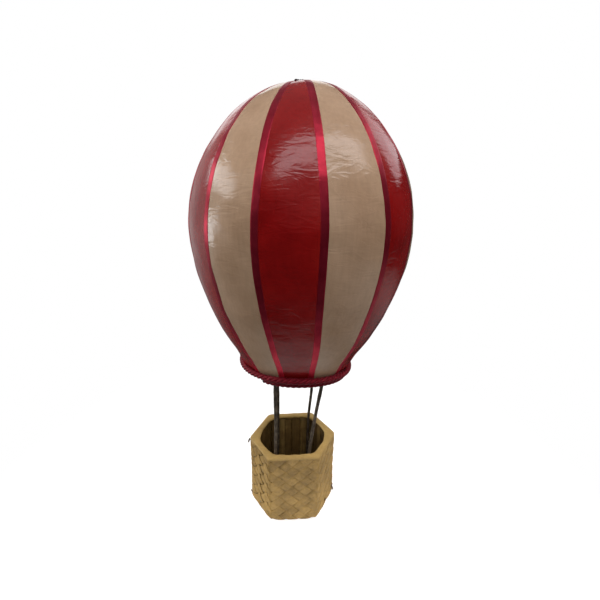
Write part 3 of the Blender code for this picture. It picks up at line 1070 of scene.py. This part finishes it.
start_piece()
bpy.ops.mesh.primitive_torus_add(
    major_radius=RING_RADIUS, minor_radius=TUBE_RADIUS, major_segments=240, minor_segments=20
)
rim = bpy.context.object
rim.name = "rolled_rim"
outer_line = [p for p, _ in rounded_plan(0.0000, 0.0060)]
inner_line = []
for corner in inset_plan(0.0082):
    if abs(corner.y) > 0.01:
        inner_line.append(corner)
    else:
        end = math.copysign(1, corner.x)
        for dy in (-END_SPREAD, END_SPREAD):
            inner_line.append(Vector((corner.x - end * END_CUT, corner.y + end * dy)))
for vert in rim.data.vertices:
    angle = math.atan2(vert.co.y, vert.co.x)
    ring_out = math.hypot(vert.co.x, vert.co.y) - RING_RADIUS
    across, tall = ring_out / TUBE_RADIUS, vert.co.z / TUBE_RADIUS
    outer_spot = ray_to(outer_line, angle)
    near_spots = [ray_to(inner_line, angle + turn_by) for turn_by in (-0.24, -0.12, 0, 0.12, 0.24)]
    inner_spot = sum(near_spots, Vector((0, 0))) / 5
    waver = 0.0012 * ring_noise(angle, 3.2, 4.0) + 0.0004 * ring_noise(angle, 9.0, 1.0)
    share_in = (1 - math.copysign(abs(across) ** 0.8, across)) / 2
    spot = outer_spot.lerp(inner_spot + inner_spot.normalized() * waver, share_in)
    up = (RIM_LOW + RIM_HIGH) / 2 + (RIM_HIGH - RIM_LOW) / 2 * math.copysign(abs(tall) ** 0.8, tall)
    if tall > 0:
        up += 0.0005 * ring_noise(angle, 4, 8.0) - 0.0002
    else:
        up += 0.0012 * tall * ring_noise(angle, 11, 3.0)
    vert.co = (spot.x, spot.y, up)
turn_outwards()
modify(rim, "softer", "SUBSURF", levels=1, render_levels=1)
apply_modifiers(rim)
bpy.ops.object.shade_smooth()
rim_straw = straw_finish("rolled_rim_straw", (0.47, 0.305, 0.094, 1), (0.25, 0.150, 0.040, 1))
rim.data.materials.append(rim_straw)
settle(rim, "rim_straw", "basket_rim")

# Studio: a pale floor that fades out into a pale room, a soft ceiling light above the front, a window
# to the left in two panes, a small one behind the right and a pale wall behind, as the varnish shows them.
start_piece()
bpy.ops.mesh.primitive_circle_add(vertices=128, radius=3.0, fill_type="NGON", location=(0, 0, 0))
floor = bpy.context.object
floor.name = "studio_floor"
floor_paint, tree, shader = new_finish(
    "pale_floor", Roughness=0.85, Specular_IOR_Level=0.1,
    Emission_Color=(1, 1, 1, 1), Emission_Strength=0.45,
)
place = on_piece(tree)
grit = cloudy(tree, place, 40.0, 3.0)
away = put(tree, "ShaderNodeVectorMath", {0: place}, operation="LENGTH").outputs["Value"]
feed(
    tree, shader,
    Base_Color=ramp(tree, grit, (0.3, (0.88, 0.88, 0.88)), (0.7, (0.90, 0.90, 0.90))),
    Alpha=remap(tree, away, 0.10, 0.45, 1.0, 0.0),
)
floor.data.materials.append(floor_paint)
floor.visible_glossy = False


def soft_light(name, azimuth, elevation, distance, wide, tall, watts, colour=(1, 1, 1)):
    """A rectangular light aimed at the envelope, azimuth from the front towards the right."""
    a, e = math.radians(azimuth), math.radians(elevation)
    way = Vector((math.sin(a) * math.cos(e), -math.cos(a) * math.cos(e), math.sin(e)))
    aim = Vector((AXIS_X, 0, 0.36))
    facing = way.to_track_quat("Z", "Y").to_euler()
    start_piece()
    bpy.ops.object.light_add(type="AREA", location=aim + way * distance, rotation=facing)
    lamp = bpy.context.object
    lamp.name = name
    lamp.data.shape = "RECTANGLE"
    lamp.data.size, lamp.data.size_y = wide, tall
    lamp.data.energy = watts
    lamp.data.color = colour
    lamp.visible_camera = False
    return lamp


# The fills light the paint without showing in the varnish. The others are what the varnish mirrors.
for fill in (
    ("overhead_fill", 20, 82, 1.4, 1.6, 1.6, 9.5),
    ("front_fill", 8, 38, 1.6, 1.8, 1.4, 9.6),
    ("left_fill", -118, 5, 1.4, 1.2, 1.2, 12),
    ("right_fill", 112, 5, 1.4, 1.2, 1.2, 10),
):
    soft_light(*fill).visible_glossy = False
soft_light("front_ceiling", 22, 62, 1.47, 2.10, 0.46, 9.4, (1.0, 0.95, 0.97))
soft_light("left_window_top", -97, 29, 1.5, 1.0, 0.36, 3.8, (0.97, 0.98, 1.0))
soft_light("left_window_low", -97, 2, 1.5, 0.36, 0.42, 2.1, (0.97, 0.98, 1.0))
soft_light("right_back", 122, 34, 1.7, 0.8, 0.8, 2.8, (1.0, 0.93, 0.96))
soft_light("back_wall", 180, 32, 1.5, 1.6, 0.5, 3.0)

# The room: white where the camera looks straight at it, and dimmer by direction for what it lights.
world = bpy.data.worlds.new("pale_room")
bpy.context.scene.world = world
world.use_nodes = True
tree = world.node_tree
tree.nodes.clear()
facing = put(tree, "ShaderNodeTexCoord").outputs["Generated"]
x, _, z = split(tree, facing)
above = remap(tree, z, 0.3, 0.9, 0.02, 0.16)
below = remap(tree, z, -0.84, -0.97, 0.0, 0.40)
behind_left = put(tree, "ShaderNodeVectorMath", {0: facing, 1: (-0.77, 0.64, 0.0)}, operation="DOT_PRODUCT")
left = remap(tree, behind_left.outputs["Value"], 0.60, 0.95, 0.0, 0.50)
left = reckon(tree, "MULTIPLY", left, remap(tree, z, -0.5, -0.1, 0.5, 1.0))
right = remap(tree, x, 0.45, 0.90, 0.0, 0.40)
right = reckon(tree, "MULTIPLY", right, remap(tree, z, -0.28, -0.45, 0.0, 1.0))
sides = reckon(tree, "MAXIMUM", left, right)
room = reckon(tree, "MAXIMUM", sides, reckon(tree, "MAXIMUM", above, below))
lit = put(tree, "ShaderNodeBackground", {"Color": (1.0, 0.98, 0.97, 1.0), "Strength": room}).outputs[0]
seen = put(tree, "ShaderNodeBackground", {"Color": (1.0, 1.0, 1.0, 1.0), "Strength": 1.0}).outputs[0]
ray = put(tree, "ShaderNodeLightPath").outputs["Is Camera Ray"]
both = put(tree, "ShaderNodeMixShader", {0: ray, 1: lit, 2: seen}).outputs[0]
put(tree, "ShaderNodeOutputWorld", {"Surface": both})
bpy.context.scene.view_settings.view_transform = "Standard"
